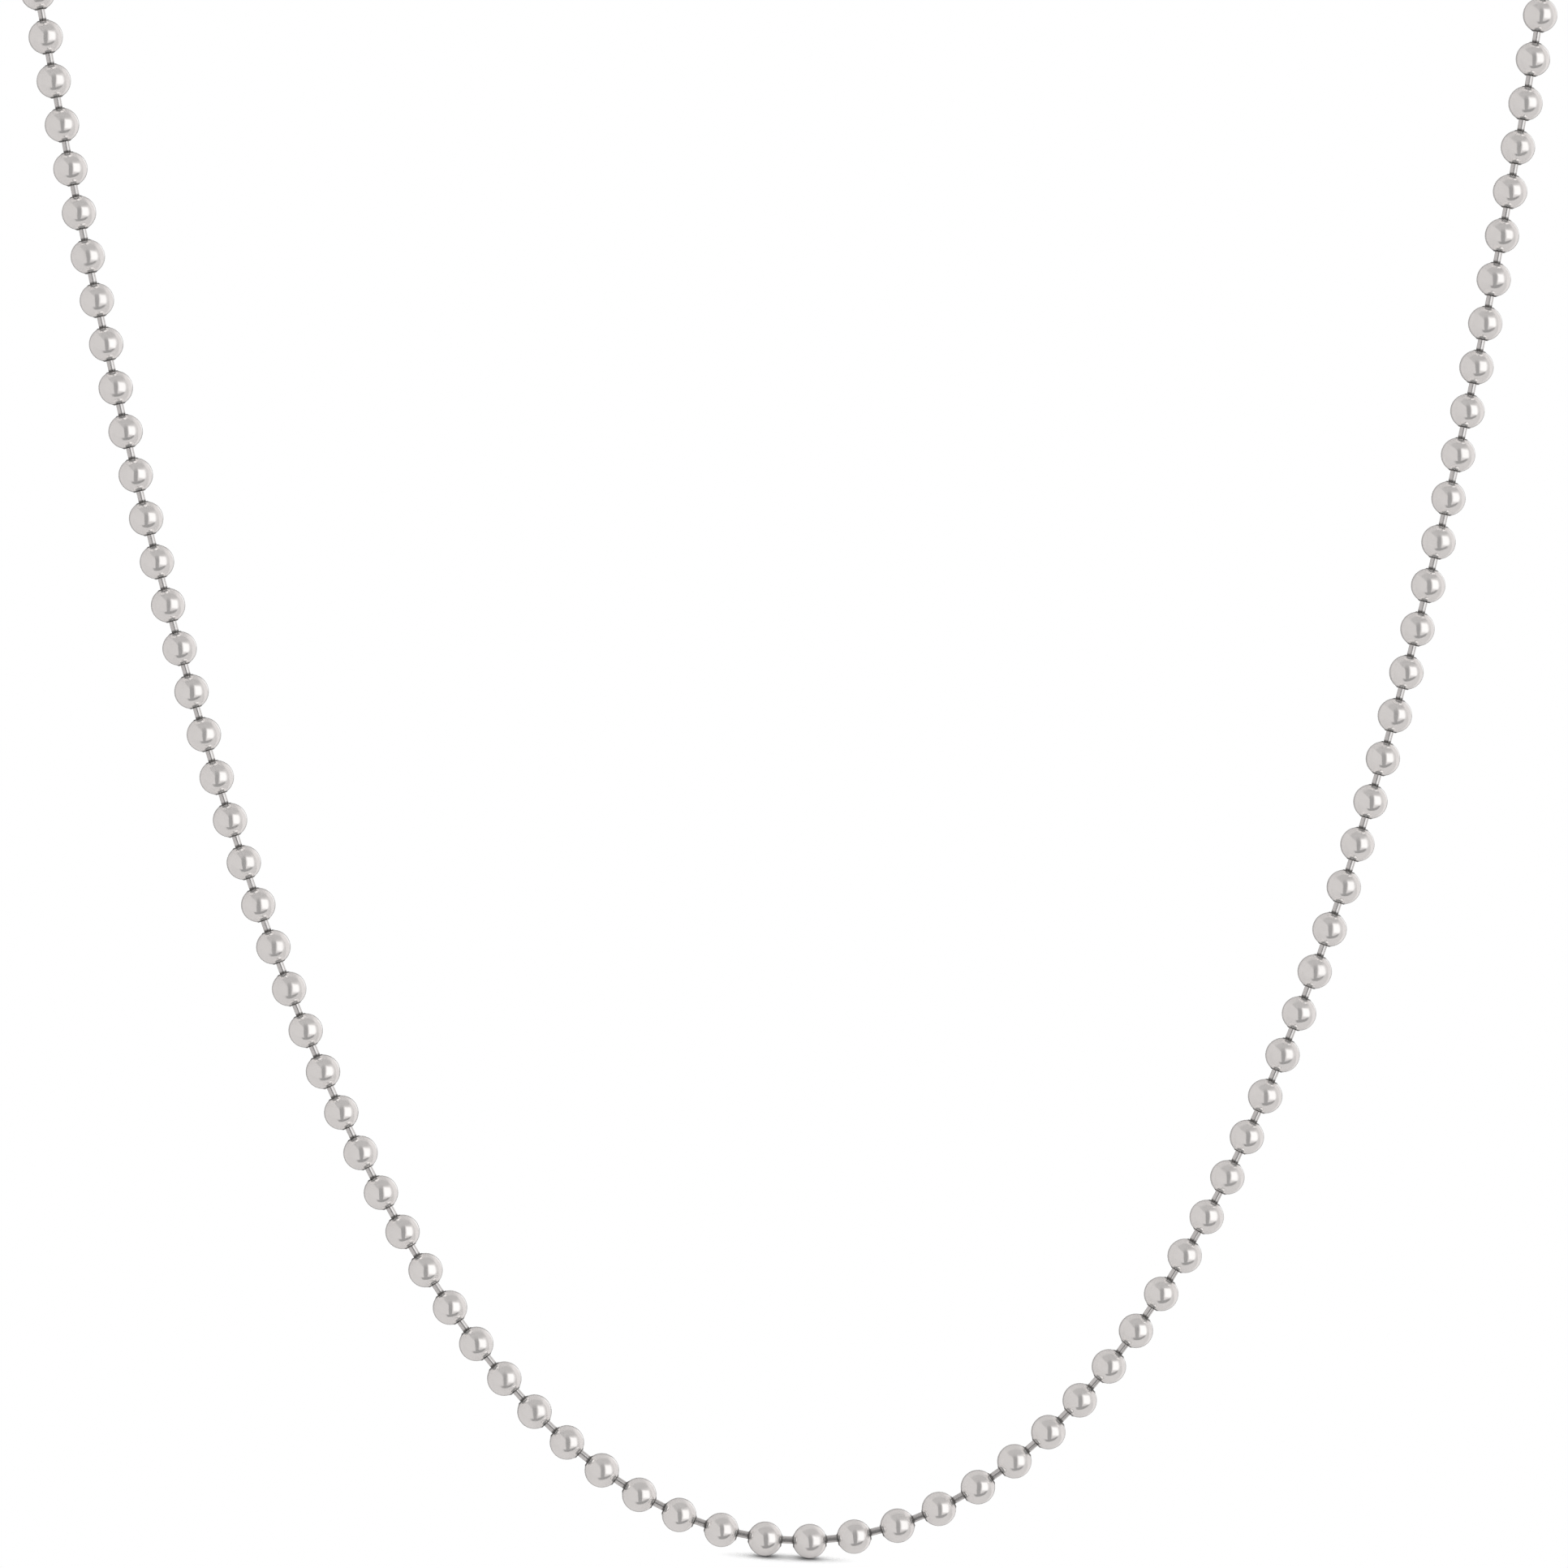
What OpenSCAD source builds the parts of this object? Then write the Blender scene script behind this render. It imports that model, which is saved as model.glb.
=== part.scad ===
// A ball chain necklace, in the form it takes when it hangs from the nape.
//
// Hollow stamped balls are linked by loose dumbbell rods. Each rod's two round heads are caught
// inside neighbouring balls, and a sleeve clasp at the nape holds the two end balls.
// Millimetres, +Z up. The front of the necklace faces -Y. The origin is the point on the clasp
// that lies against the nape.

/* [Balls] */
// Outside diameter of a ball
ball_d = 3.2; // [3:0.1:4.5]
// Thickness of the stamped wall
ball_wall = 0.25; // [0.2:0.01:0.3]
// Width of the collar rolled round each hole
collar_wall = 0.07; // [0.05:0.01:0.3]
// How far the collar's rim stands out of the round of the ball
collar_rise = 0.06; // [0.02:0.01:0.2]

/* [Rods] */
// Diameter of a rod
rod_d = 0.68; // [0.5:0.02:0.8]
// Bare length of rod from one ball to the next
rod_show = 0.95; // [0.6:0.05:1.6]
// Clear space all round a rod in a ball's hole
rod_gap = 0.13; // [0.11:0.01:0.2]
// How far a rod's head reaches past the edge of the hole
head_lip = 0.08; // [0.06:0.01:0.14]
// Clear space between a rod's head and the inside of the ball
seat_gap = 0.15; // [0.12:0.01:0.2]

/* [Clasp] */
// Distance between the centres of the two end balls
clasp_pitch = 5.2; // [4.8:0.1:7]
// Thickness of the sleeve
clasp_wall = 0.35; // [0.3:0.05:0.6]
// Clear space between the sleeve and the balls in it
clasp_gap = 0.12; // [0.1:0.01:0.3]
// Width of the open side, through which the end balls are pressed in
clasp_slot = 2.6; // [2.2:0.1:2.8]
// Clear space all round the rod in each end of the sleeve
mouth_gap = 0.32; // [0.26:0.01:0.5]
// How far along the chain the clasp lies off the middle of the nape
clasp_shift = 0.43; // [-2:0.01:2]

/* [Shape as worn] */
// Distance between the two strands where the front bow ends
front_w = 140.5; // [120:0.5:160]
// Height of the front bow
front_h = 146; // [120:1:170]
// Scale of the bow's hanging curve, larger for a rounder bottom
bow = 28.7; // [25:0.1:34]
// Distance from the front bow back to the nape
neck_depth = 75; // [55:1:100]
// How far the nape lies above the top of the front bow
nape_rise = 40; // [25:1:55]
// How far a strand keeps its direction as it leaves the front bow
strand_reach = 45; // [35:1:55]
// How far the chain runs straight across the nape on each side
nape_reach = 45; // [35:1:55]
// Length of chain on each side of the clasp where the rods are joined into one wire
wire_length = 91; // [40:1:100]

/* [Hidden] */
round_sides = 64;
arc_steps = 5;
wire_sides = 8;
side_steps = 160;
bow_steps = 420;

// Radii and places inside one ball, measured from its centre along its drilled axis
ball_r = ball_d / 2;
cavity_r = ball_r - ball_wall;
rod_r = rod_d / 2;
hole_r = rod_r + rod_gap;
collar_r = hole_r + collar_wall;
head_r = hole_r + head_lip;
rim_at = sqrt(ball_r * ball_r - collar_r * collar_r) + collar_rise;
wall_at = sqrt(cavity_r * cavity_r - hole_r * hole_r);
hole_at = (rim_at + wall_at) / 2;
seat_r = head_r + seat_gap;
head_at = wall_at - sqrt(seat_r * seat_r - hole_r * hole_r);

// Radii of the clasp, which clears the collars of the balls in it
sleeve_in = max(ball_r, norm([rim_at, collar_r])) + clasp_gap;
sleeve_out = sleeve_in + clasp_wall;
mouth_r = rod_r + mouth_gap;
// The end slots are a little narrower than the mouths, so that a rod snaps through them
mouth_slot = 1.7 * mouth_r;

// Places of the front bow
front_y = sleeve_out - neck_depth;
bow_top_z = -nape_rise;
bow_low_z = bow_top_z - front_h;

function unit(v) = v / norm(v);
function mirrored(p) = [-p.x, p.y, p.z];

// The front bow hangs in a catenary. Its points are spaced by the slope, which keeps them even.
bow_span = front_w / 2 / bow;
bow_slope = (exp(bow_span) - exp(-bow_span)) / 2;
bow_tall = front_h / (sqrt(1 + bow_slope * bow_slope) - 1);
function bow_point(slope) = [
    bow * ln(slope + sqrt(slope * slope + 1)),
    front_y,
    bow_low_z + bow_tall * (sqrt(1 + slope * slope) - 1)
];

// From the top of the bow, each strand rises, turns back past the side of the neck and meets
// the other at the nape, on one Bezier curve
side_start = bow_point(bow_slope);
side_lean = unit([bow, 0, bow_tall * bow_slope]);
side_end = [0, sleeve_out, 0];
side_poles = [side_start, side_start + strand_reach * side_lean, side_end + [nape_reach, 0, 0], side_end];
function side_point(t) =
    pow(1 - t, 3) * side_poles[0]
    + 3 * pow(1 - t, 2) * t * side_poles[1]
    + 3 * (1 - t) * t * t * side_poles[2]
    + t * t * t * side_poles[3];

// The whole loop, from the nape down the left strand, round the bow and back up the right one
route = concat(
    [for (i = [0:side_steps - 1]) mirrored(side_point(1 - i / side_steps))],
    [for (i = [0:bow_steps - 1]) bow_point(bow_slope * (2 * i / bow_steps - 1))],
    [for (i = [0:side_steps]) side_point(i / side_steps)]
);
last_step = len(route) - 1;
reach = [
    for (i = 0, s = 0; i <= last_step; s = s + (i < last_step ? norm(route[i + 1] - route[i]) : 0), i = i + 1) s
];
loop_length = reach[last_step];

function step_at(s, low, high) =
    high - low <= 1 ? low
    : let (middle = floor((low + high) / 2))
      reach[middle] <= s ? step_at(s, middle, high) : step_at(s, low, middle);
function wrapped(s) = s - loop_length * floor(s / loop_length);
function at(s) =
    let (w = wrapped(s), i = step_at(w, 0, last_step), share = (w - reach[i]) / (reach[i + 1] - reach[i]))
    route[i] + share * (route[i + 1] - route[i]);

// Whole balls fill the loop, so the pitch is eased by a few thousandths
ball_count = round((loop_length - clasp_pitch) / (ball_d + rod_show)) + 1;
pitch = (loop_length - clasp_pitch) / (ball_count - 1);
wire_rods = round(wire_length / pitch);

function ball_s(i) = clasp_shift + clasp_pitch / 2 + i * pitch;
function ball_at(i) = at(ball_s(i));
function ball_axis(i) = unit(at(ball_s(i) + pitch / 2) - at(ball_s(i) - pitch / 2));
// The middle of the hole by which the chain leaves ball i, and of the one by which it comes in
function way_out(i) = ball_at(i) + hole_at * ball_axis(i);
function way_in(i) = ball_at(i) - hole_at * ball_axis(i);

// Stands its children, drawn along +Z, at a point and along a direction
module along(point, direction) {
    translate(point)
    rotate([0, acos(direction.z), atan2(direction.y, direction.x)])
    children();
}

// A stamped ball: a round shell with a collar at each end of its drilled axis
module ball() {
    difference() {
        union() {
            sphere(r = ball_r, $fn = round_sides);
            cylinder(r = collar_r, h = 2 * rim_at, center = true, $fn = round_sides);
        }
        sphere(r = cavity_r, $fn = round_sides);
        cylinder(r = hole_r, h = 2 * rim_at + ball_wall, center = true, $fn = round_sides);
    }
}

module balls() {
    color("gainsboro")
    for (i = [0:ball_count - 1])
        along(ball_at(i), ball_axis(i))
        ball();
}

// A rod from the middle of one hole to the middle of the next, with its heads inside the balls
module rod(from, to) {
    inside = hole_at - head_at;
    run = unit(to - from);
    long = norm(to - from) + 2 * inside;
    along(from - inside * run, run)
    union() {
        cylinder(r = rod_r, h = long, $fn = round_sides);
        sphere(r = head_r, $fn = round_sides);
        translate([0, 0, long])
        sphere(r = head_r, $fn = round_sides);
    }
}

module rods() {
    color("silver")
    for (i = [wire_rods:ball_count - 2 - wire_rods])
        rod(way_out(i), way_in(i + 1));
}

// One ring of the wire, square to its run. The slanted helper is never in line with a strand there.
wire_helper = [0, -1, 1];
function ring(point, run) =
    let (u = unit(cross(run, wire_helper)), v = cross(u, run))
    [for (k = [0:wire_sides - 1]) point + rod_r * (cos(360 * k / wire_sides) * u + sin(360 * k / wire_sides) * v)];

// A wire swept through a list of points
module wire(path) {
    last = len(path) - 1;
    runs = [for (i = [0:last]) unit(path[min(i + 1, last)] - path[max(i - 1, 0)])];
    corners = [for (i = [0:last]) each ring(path[i], runs[i])];
    start_face = [for (k = [0:wire_sides - 1]) wire_sides - 1 - k];
    end_face = [for (k = [0:wire_sides - 1]) last * wire_sides + k];
    walls = [
        for (i = [0:last - 1], k = [0:wire_sides - 1])
        let (near = i * wire_sides, far = near + wire_sides, next = (k + 1) % wire_sides)
        [near + k, near + next, far + next, far + k]
    ];
    polyhedron(points = corners, faces = concat([start_face, end_face], walls));
}

// The points of the wire that runs through the balls from one to another, by the holes' middles
function wire_path(first, last) = concat(
    [ball_at(first) + head_at * ball_axis(first), way_out(first)],
    [for (i = [first + 1:last - 1]) each [way_in(i), way_out(i)]],
    [way_in(last), ball_at(last) - head_at * ball_axis(last)]
);

module nape_wires() {
    color("silver") {
        wire(wire_path(0, wire_rods));
        wire(wire_path(ball_count - 1 - wire_rods, ball_count - 1));
    }
}

// One rounded end of the sleeve, as half a profile from its widest point to its mouth
function sleeve_end(radius) =
    let (turn = acos(mouth_r / radius))
    [
        for (k = [0:arc_steps])
        [radius * cos(turn * k / arc_steps), clasp_pitch / 2 + radius * sin(turn * k / arc_steps)]
    ];
function flipped(list) = [for (i = [len(list) - 1:-1:0]) [list[i].x, -list[i].y]];
function backwards(list) = [for (i = [len(list) - 1:-1:0]) list[i]];

module clasp() {
    from = ball_at(ball_count - 1);
    to = ball_at(0);
    outside = sleeve_end(sleeve_out);
    inside = sleeve_end(sleeve_in);
    color("gainsboro")
    along((from + to) / 2, unit(to - from))
    difference() {
        rotate_extrude($fn = round_sides)
        polygon(concat(flipped(outside), outside, backwards(inside), backwards(flipped(inside))));
        // The open side looks away from the neck
        translate([-clasp_slot / 2, -2 * sleeve_out, -clasp_pitch / 2])
        cube([clasp_slot, 2 * sleeve_out, clasp_pitch]);
        translate([-mouth_slot / 2, -2 * sleeve_out, -clasp_pitch])
        cube([mouth_slot, 2 * sleeve_out, 2 * clasp_pitch]);
    }
}

balls();
rods();
nape_wires();
clasp();
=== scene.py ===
# %% [markdown]
# # A ball chain necklace
# The real object is a chain of hollow steel balls. Short rods with a round head at each end
# link them, and a split sleeve holds the two end balls at the nape. The construction model
# already has every part in its place, so this lesson loads it, reads where each ball sits,
# and dresses the same places in finer shapes and real-looking steel.

# %% Load the construction model
import math

import bpy
import numpy as np
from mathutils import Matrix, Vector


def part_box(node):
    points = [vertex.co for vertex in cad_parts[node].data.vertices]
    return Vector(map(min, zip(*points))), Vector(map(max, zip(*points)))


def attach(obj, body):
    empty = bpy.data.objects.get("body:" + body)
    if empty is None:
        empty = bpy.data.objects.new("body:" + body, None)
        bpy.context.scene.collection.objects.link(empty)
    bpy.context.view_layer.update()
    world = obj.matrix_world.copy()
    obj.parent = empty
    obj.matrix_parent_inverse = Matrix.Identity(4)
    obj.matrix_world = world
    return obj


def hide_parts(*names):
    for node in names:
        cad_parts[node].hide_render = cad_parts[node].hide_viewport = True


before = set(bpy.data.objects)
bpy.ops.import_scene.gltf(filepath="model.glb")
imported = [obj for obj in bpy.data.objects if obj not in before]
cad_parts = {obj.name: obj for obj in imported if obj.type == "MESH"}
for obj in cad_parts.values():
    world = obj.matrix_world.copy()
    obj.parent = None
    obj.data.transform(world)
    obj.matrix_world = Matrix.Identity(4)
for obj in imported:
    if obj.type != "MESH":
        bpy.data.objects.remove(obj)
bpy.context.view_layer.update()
print("CAD nodes:", sorted(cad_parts))

# %% [markdown]
# ## Sizes
# A stamped ball is a thin shell with a small collar rolled round each of its two holes. The
# sizes are the ones that the construction model was drawn with, and only the collar's sloping
# foot is new. They are in metres, because Blender works in metres. Naming each one keeps the
# shapes below readable.

# %% Sizes of the parts
MM = 0.001
BALL_RADIUS = 1.6 * MM
CAVITY_RADIUS = 1.35 * MM
HOLE_RADIUS = 0.47 * MM
COLLAR_RADIUS = 0.54 * MM
COLLAR_FOOT = 0.66 * MM
RIM_HEIGHT = 1.5661 * MM
HOLE_MIDDLE = 1.4158 * MM
ROD_RADIUS = 0.34 * MM
HEAD_RADIUS = 0.55 * MM
HEAD_CENTRE = 0.7468 * MM
print(f"balls {2 * BALL_RADIUS / MM:.1f} mm and rods {2 * ROD_RADIUS / MM:.2f} mm across")

# %% [markdown]
# ## Where the balls are
# All the balls come in as one mesh of loose triangles. Corners that share a place belong
# together, and triangles that share corners belong to one ball, so passing the lowest number
# from corner to corner gives every ball its own number. Only the collars reach beyond the
# round of a ball, so those points alone give its middle and the line through its two holes.

# %% Read each ball's middle and axis
# Points that share a cell of a grid this fine are one corner
SAME_PLACE = 0.001 * MM
# Three whole numbers of this many bits fit side by side in one
KEY_BITS = 20
# Points this far out of the round of a ball belong to its collars
COLLAR_STAND = 0.03 * MM


def separate_solids(mesh):
    """The points of each closed solid in a mesh of loose triangles."""
    points = np.empty(len(mesh.vertices) * 3, np.float32)
    mesh.vertices.foreach_get("co", points)
    points = points.reshape(-1, 3).astype(float)
    corners = np.empty(len(mesh.loops), np.int32)
    mesh.loops.foreach_get("vertex_index", corners)
    grid = np.round((points - points.min(0)) / SAME_PLACE).astype(np.int64)
    keys = (grid[:, 0] << 2 * KEY_BITS) + (grid[:, 1] << KEY_BITS) + grid[:, 2]
    _, first, same = np.unique(keys, return_index=True, return_inverse=True)
    points, triangles = points[first], same.reshape(-1)[corners].reshape(-1, 3)
    number = np.arange(len(points))
    while True:
        lowest = number[triangles].min(axis=1)
        passed_on = number.copy()
        np.minimum.at(passed_on, triangles.ravel(), np.repeat(lowest, 3))
        passed_on = passed_on[passed_on]
        if (passed_on == number).all():
            return [points[number == n] for n in np.unique(number)]
        number = passed_on


def middle_and_axis(solid):
    """A ball's middle and the direction of its holes, from the points of its two collars."""
    away = solid - (solid.min(0) + solid.max(0)) / 2
    collars = solid[np.linalg.norm(away, axis=1) > BALL_RADIUS + COLLAR_STAND]
    middle = collars.mean(0)
    spread = (collars - middle).T @ (collars - middle)
    return middle, np.linalg.eigh(spread)[1][:, -1]


found = [middle_and_axis(s) for s in separate_solids(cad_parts["balls"].data)]
middles = np.array([m for m, _ in found])
axes = np.array([a for _, a in found])
print(len(middles), "balls found")

# %% [markdown]
# ## Walk along the chain
# The two balls inside the clasp are the ends of the chain. Starting at the left one and always
# stepping to the nearest ball not yet visited follows the chain round to the other end. Each
# axis is then turned to point along the walk, so that one hole is the way in and the other
# the way out.

# %% Put the balls in order
clasp_low, clasp_high = (np.array(corner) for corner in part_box("clasp"))
in_clasp = [
    i for i, m in enumerate(middles) if (m > clasp_low).all() and (m < clasp_high).all()
]
walk = [min(in_clasp, key=lambda i: middles[i][0])]
last_ball = max(in_clasp, key=lambda i: middles[i][0])
left_over = set(range(len(middles))) - {walk[0], last_ball}
while left_over:
    walk.append(min(left_over, key=lambda i: np.linalg.norm(middles[i] - middles[walk[-1]])))
    left_over.remove(walk[-1])
walk.append(last_ball)
middles, axes = middles[walk], axes[walk]
along = np.gradient(middles, axis=0)
axes *= np.sign((axes * along).sum(1))[:, None]
pitches = np.linalg.norm(np.diff(middles, axis=0), axis=1) / MM
print(f"pitch {pitches.min():.3f} to {pitches.max():.3f} mm along {len(middles)} balls")

# %% [markdown]
# ## Small tools for node trees
# Every repeated part below is made by Geometry Nodes, and every finish by shader nodes. Both
# kinds of tree are built by adding a node, setting its choices and filling its sockets with a
# number or a link, so one short function does that for both.

# %% Add a node and fill its sockets
def add(tree, kind, sockets=None, **choices):
    """A new node. A socket's value may be a number, a vector or another node's output."""
    made = tree.nodes.new(kind)
    for name, choice in choices.items():
        setattr(made, name, choice)
    for name, value in (sockets or {}).items():
        if isinstance(value, bpy.types.NodeSocket):
            tree.links.new(value, made.inputs[name])
        else:
            made.inputs[name].default_value = value
    return made


def calc(tree, operation, first, second=0.0, third=0.0):
    """One step of arithmetic, in a geometry or shader tree. Returns its output socket."""
    sockets = {0: first, 1: second, 2: third}
    return add(tree, "ShaderNodeMath", sockets, operation=operation).outputs[0]


def vector_calc(tree, operation, first, second, output="Vector"):
    """One step of arithmetic on vectors. Returns one of its output sockets."""
    sockets = {0: first, 1: second}
    return add(tree, "ShaderNodeVectorMath", sockets, operation=operation).outputs[output]


def in_millimetres(tree, place):
    """A place given in metres, in millimetres."""
    sockets = {0: place, "Scale": 1 / MM}
    return add(tree, "ShaderNodeVectorMath", sockets, operation="SCALE").outputs["Vector"]


def fade(tree, value, start, end, blend="LINEAR"):
    """0 before start, 1 after end."""
    sockets = {"Value": value, "From Min": start, "From Max": end}
    return add(tree, "ShaderNodeMapRange", sockets, interpolation_type=blend).outputs[0]


def mixed(tree, share, first, second):
    """A colour that is the first where share is 0 and the second where it is 1."""
    # A Mix node keeps a pair of sockets for each kind of value. 6 and 7 are its colours.
    sockets = {0: share, 6: first, 7: second}
    return add(tree, "ShaderNodeMix", sockets, data_type="RGBA").outputs[2]


def point(tree, across, up):
    """A point of a flat profile: so far from the axis, and so high along it."""
    return add(tree, "ShaderNodeCombineXYZ", {"X": across, "Y": up}).outputs[0]


def joined(tree, *parts):
    """Several geometries as one."""
    join = tree.nodes.new("GeometryNodeJoinGeometry")
    for part in parts:
        tree.links.new(part, join.inputs[0])
    return join.outputs[0]


def new_tree(name, inputs, outputs, kind="GeometryNodeTree"):
    """An empty node group with its named sockets, and its input and output nodes."""
    tree = bpy.data.node_groups.new(name, kind)
    for in_out, sockets in (("INPUT", inputs), ("OUTPUT", outputs)):
        for label, socket in sockets.items():
            tree.interface.new_socket(label, in_out=in_out, socket_type="NodeSocket" + socket)
    given = tree.nodes.new("NodeGroupInput").outputs
    result = tree.nodes.new("NodeGroupOutput").inputs
    return tree, given, result


# %% [markdown]
# ## Turning a profile
# Balls and rods are both round about one line, like work on a lathe. Their half profiles are
# drawn flat as a few arcs and straight lines, welded end to end into one curve, and swept
# round a small circle. The sweep measures from the circle, so the profile first moves in by
# the circle's radius. Points that meet on the axis are merged, which closes the poles.

# %% The lathe, a group that both parts use
LATHE_CIRCLE = 0.3 * MM
WELD = 0.002 * MM
SHARP_EDGE = math.radians(40)

lathe, given, result = new_tree(
    "Turned on a lathe",
    {"Profile": "Geometry", "Sides": "Int"},
    {"Mesh": "Geometry"},
)
outline = add(lathe, "GeometryNodeCurveToMesh", {"Curve": given["Profile"]}).outputs[0]
welded = add(
    lathe, "GeometryNodeMergeByDistance", {"Geometry": outline, "Distance": WELD}
).outputs[0]
profile = add(lathe, "GeometryNodeMeshToCurve", {"Mesh": welded}).outputs[0]
moved_in = add(
    lathe, "GeometryNodeSetPosition", {"Geometry": profile, "Offset": (-LATHE_CIRCLE, 0, 0)}
).outputs[0]
circle = add(
    lathe, "GeometryNodeCurvePrimitiveCircle",
    {"Resolution": given["Sides"], "Radius": LATHE_CIRCLE}, mode="RADIUS",
).outputs[0]
turned = add(
    lathe, "GeometryNodeCurveToMesh", {"Curve": circle, "Profile Curve": moved_in}
).outputs[0]
closed = add(
    lathe, "GeometryNodeMergeByDistance", {"Geometry": turned, "Distance": WELD}
).outputs[0]
bend = lathe.nodes.new("GeometryNodeInputMeshEdgeAngle").outputs["Unsigned Angle"]
soft = add(
    lathe, "FunctionNodeCompare", {0: bend, 1: SHARP_EDGE}, operation="LESS_THAN"
).outputs[0]
smooth = add(lathe, "GeometryNodeSetShadeSmooth", {"Geometry": closed}).outputs[0]
shaded = add(
    lathe, "GeometryNodeSetShadeSmooth",
    {"Geometry": smooth, "Shade Smooth": soft}, domain="EDGE",
).outputs[0]
lathe.links.new(shaded, result["Mesh"])
print(f"{lathe.name}: {len(lathe.nodes)} nodes")

# %% [markdown]
# ## Standing parts along the chain
# Each part is drawn once, on its own Z axis, and placed on a cloud of points. A point carries
# the direction that its part looks along. Wear turns every ball a little differently, so each
# also gets a random roll and a random tone for its steel, always from the same seed. The part's
# own coordinates are stored first, in millimetres, because a finish that follows the stamping
# needs them after the parts are joined into one mesh.

# %% The placing, a group that both parts use
placing, given, result = new_tree(
    "Placed along the chain",
    {"Points": "Geometry", "Part": "Geometry", "Roll": "Float", "Seed": "Int",
     "Steel": "Material"},
    {"Mesh": "Geometry"},
)
own_place = in_millimetres(placing, placing.nodes.new("GeometryNodeInputPosition").outputs[0])
marked = add(
    placing, "GeometryNodeStoreNamedAttribute",
    {"Geometry": given["Part"], "Name": "in_part", "Value": own_place},
    data_type="FLOAT_VECTOR",
).outputs[0]
tone = add(
    placing, "FunctionNodeRandomValue", {"Seed": given["Seed"]}, data_type="FLOAT"
).outputs[1]
toned = add(
    placing, "GeometryNodeStoreNamedAttribute",
    {"Geometry": given["Points"], "Name": "tone", "Value": tone}, data_type="FLOAT",
).outputs[0]
direction = add(
    placing, "GeometryNodeInputNamedAttribute", {"Name": "run"}, data_type="FLOAT_VECTOR"
).outputs[0]
stretch = add(
    placing, "GeometryNodeInputNamedAttribute", {"Name": "stretch"}, data_type="FLOAT"
).outputs[0]
facing = add(placing, "FunctionNodeAlignRotationToVector", {"Vector": direction}).outputs[0]
# Sockets 2 and 3 hold the least and the greatest number that may be drawn
any_roll = add(
    placing, "FunctionNodeRandomValue",
    {2: calc(placing, "MULTIPLY", given["Roll"], -1), 3: given["Roll"],
     "Seed": calc(placing, "ADD", given["Seed"], 1)},
    data_type="FLOAT",
).outputs[1]
roll = add(
    placing, "FunctionNodeAxisAngleToRotation", {"Axis": (0, 0, 1), "Angle": any_roll}
).outputs[0]
turned_part = add(
    placing, "FunctionNodeRotateRotation",
    {"Rotation": facing, "Rotate By": roll}, rotation_space="LOCAL",
).outputs[0]
stretched_part = add(placing, "ShaderNodeCombineXYZ", {"X": 1, "Y": 1, "Z": stretch}).outputs[0]
placed = add(
    placing, "GeometryNodeInstanceOnPoints",
    {"Points": toned, "Instance": marked, "Rotation": turned_part, "Scale": stretched_part},
).outputs[0]
real = add(placing, "GeometryNodeRealizeInstances", {"Geometry": placed}).outputs[0]
finished = add(
    placing, "GeometryNodeSetMaterial", {"Geometry": real, "Material": given["Steel"]}
).outputs[0]
placing.links.new(finished, result["Mesh"])
print(f"{placing.name}: {len(placing.nodes)} nodes")

# %% [markdown]
# ## Drawing flat profiles
# A profile could be a curve that is drawn by hand, but its sizes would then be fixed. Here each
# arc and line is a node in the part's own tree, so it follows the sizes that the tree is given.
# A profile is the same upside down, so its collar or its head is drawn once, and a flipped copy
# makes the other end.

# %% Arcs, lines and whole groups in a tree
def use_group(tree, group, sockets):
    """A node in a tree that stands for a whole group. Returns its first output."""
    made = tree.nodes.new("GeometryNodeGroup")
    made.node_tree = group
    for name, value in sockets.items():
        tree.links.new(value, made.inputs[name])
    return made.outputs[0]


def place_along_chain(tree, given, part):
    """The part on each of the tree's own points, by the shared group."""
    passed_on = {name: given[name] for name in ("Points", "Roll", "Seed", "Steel")}
    return use_group(tree, placing, {"Part": part, **passed_on})


def minus(tree, value):
    """The same number with the other sign."""
    return calc(tree, "MULTIPLY", value, -1)


def flipped(tree, part):
    """A part of a profile, upside down."""
    sockets = {"Geometry": part, "Scale": (1, -1, 1)}
    return add(tree, "GeometryNodeTransform", sockets).outputs[0]


def arc(tree, radius, start, sweep, steps):
    """Part of a circle in the flat profile, round the profile's zero point."""
    sockets = {
        "Resolution": steps, "Radius": radius, "Start Angle": start, "Sweep Angle": sweep,
    }
    return add(tree, "GeometryNodeCurveArc", sockets, mode="RADIUS").outputs[0]


def line(tree, start, end):
    """A straight piece of the flat profile."""
    return add(
        tree, "GeometryNodeCurvePrimitiveLine", {"Start": start, "End": end}, mode="POINTS"
    ).outputs[0]


def height_at(tree, radius, across):
    """How high a circle of some radius is at a distance from the axis."""
    radius_squared = calc(tree, "MULTIPLY", radius, radius)
    across_squared = calc(tree, "MULTIPLY", across, across)
    return calc(tree, "SQRT", calc(tree, "SUBTRACT", radius_squared, across_squared))


# %% [markdown]
# ## The ball's tree
# A ball's half profile is an outer arc, an inner arc, and at each hole a collar with a sloping
# foot, a rounded top and a straight bore. The top collar is drawn once and mirrored for the
# bottom one. The wall keeps its real thickness, so the dark gap round each rod and the hollow
# behind it are really there. The sweep leaves this closed profile's faces looking inwards, so
# they are turned round.

# %% Balls by Geometry Nodes
balls_tree, given, result = new_tree(
    "Stamped balls",
    {"Points": "Geometry", "Ball Radius": "Float", "Cavity Radius": "Float",
     "Hole Radius": "Float", "Collar Radius": "Float", "Collar Foot": "Float",
     "Rim Height": "Float", "Sides": "Int", "Outer Steps": "Int", "Inner Steps": "Int",
     "Lip Steps": "Int", "Roll": "Float", "Seed": "Int", "Steel": "Material"},
    {"Mesh": "Geometry"},
)


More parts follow.
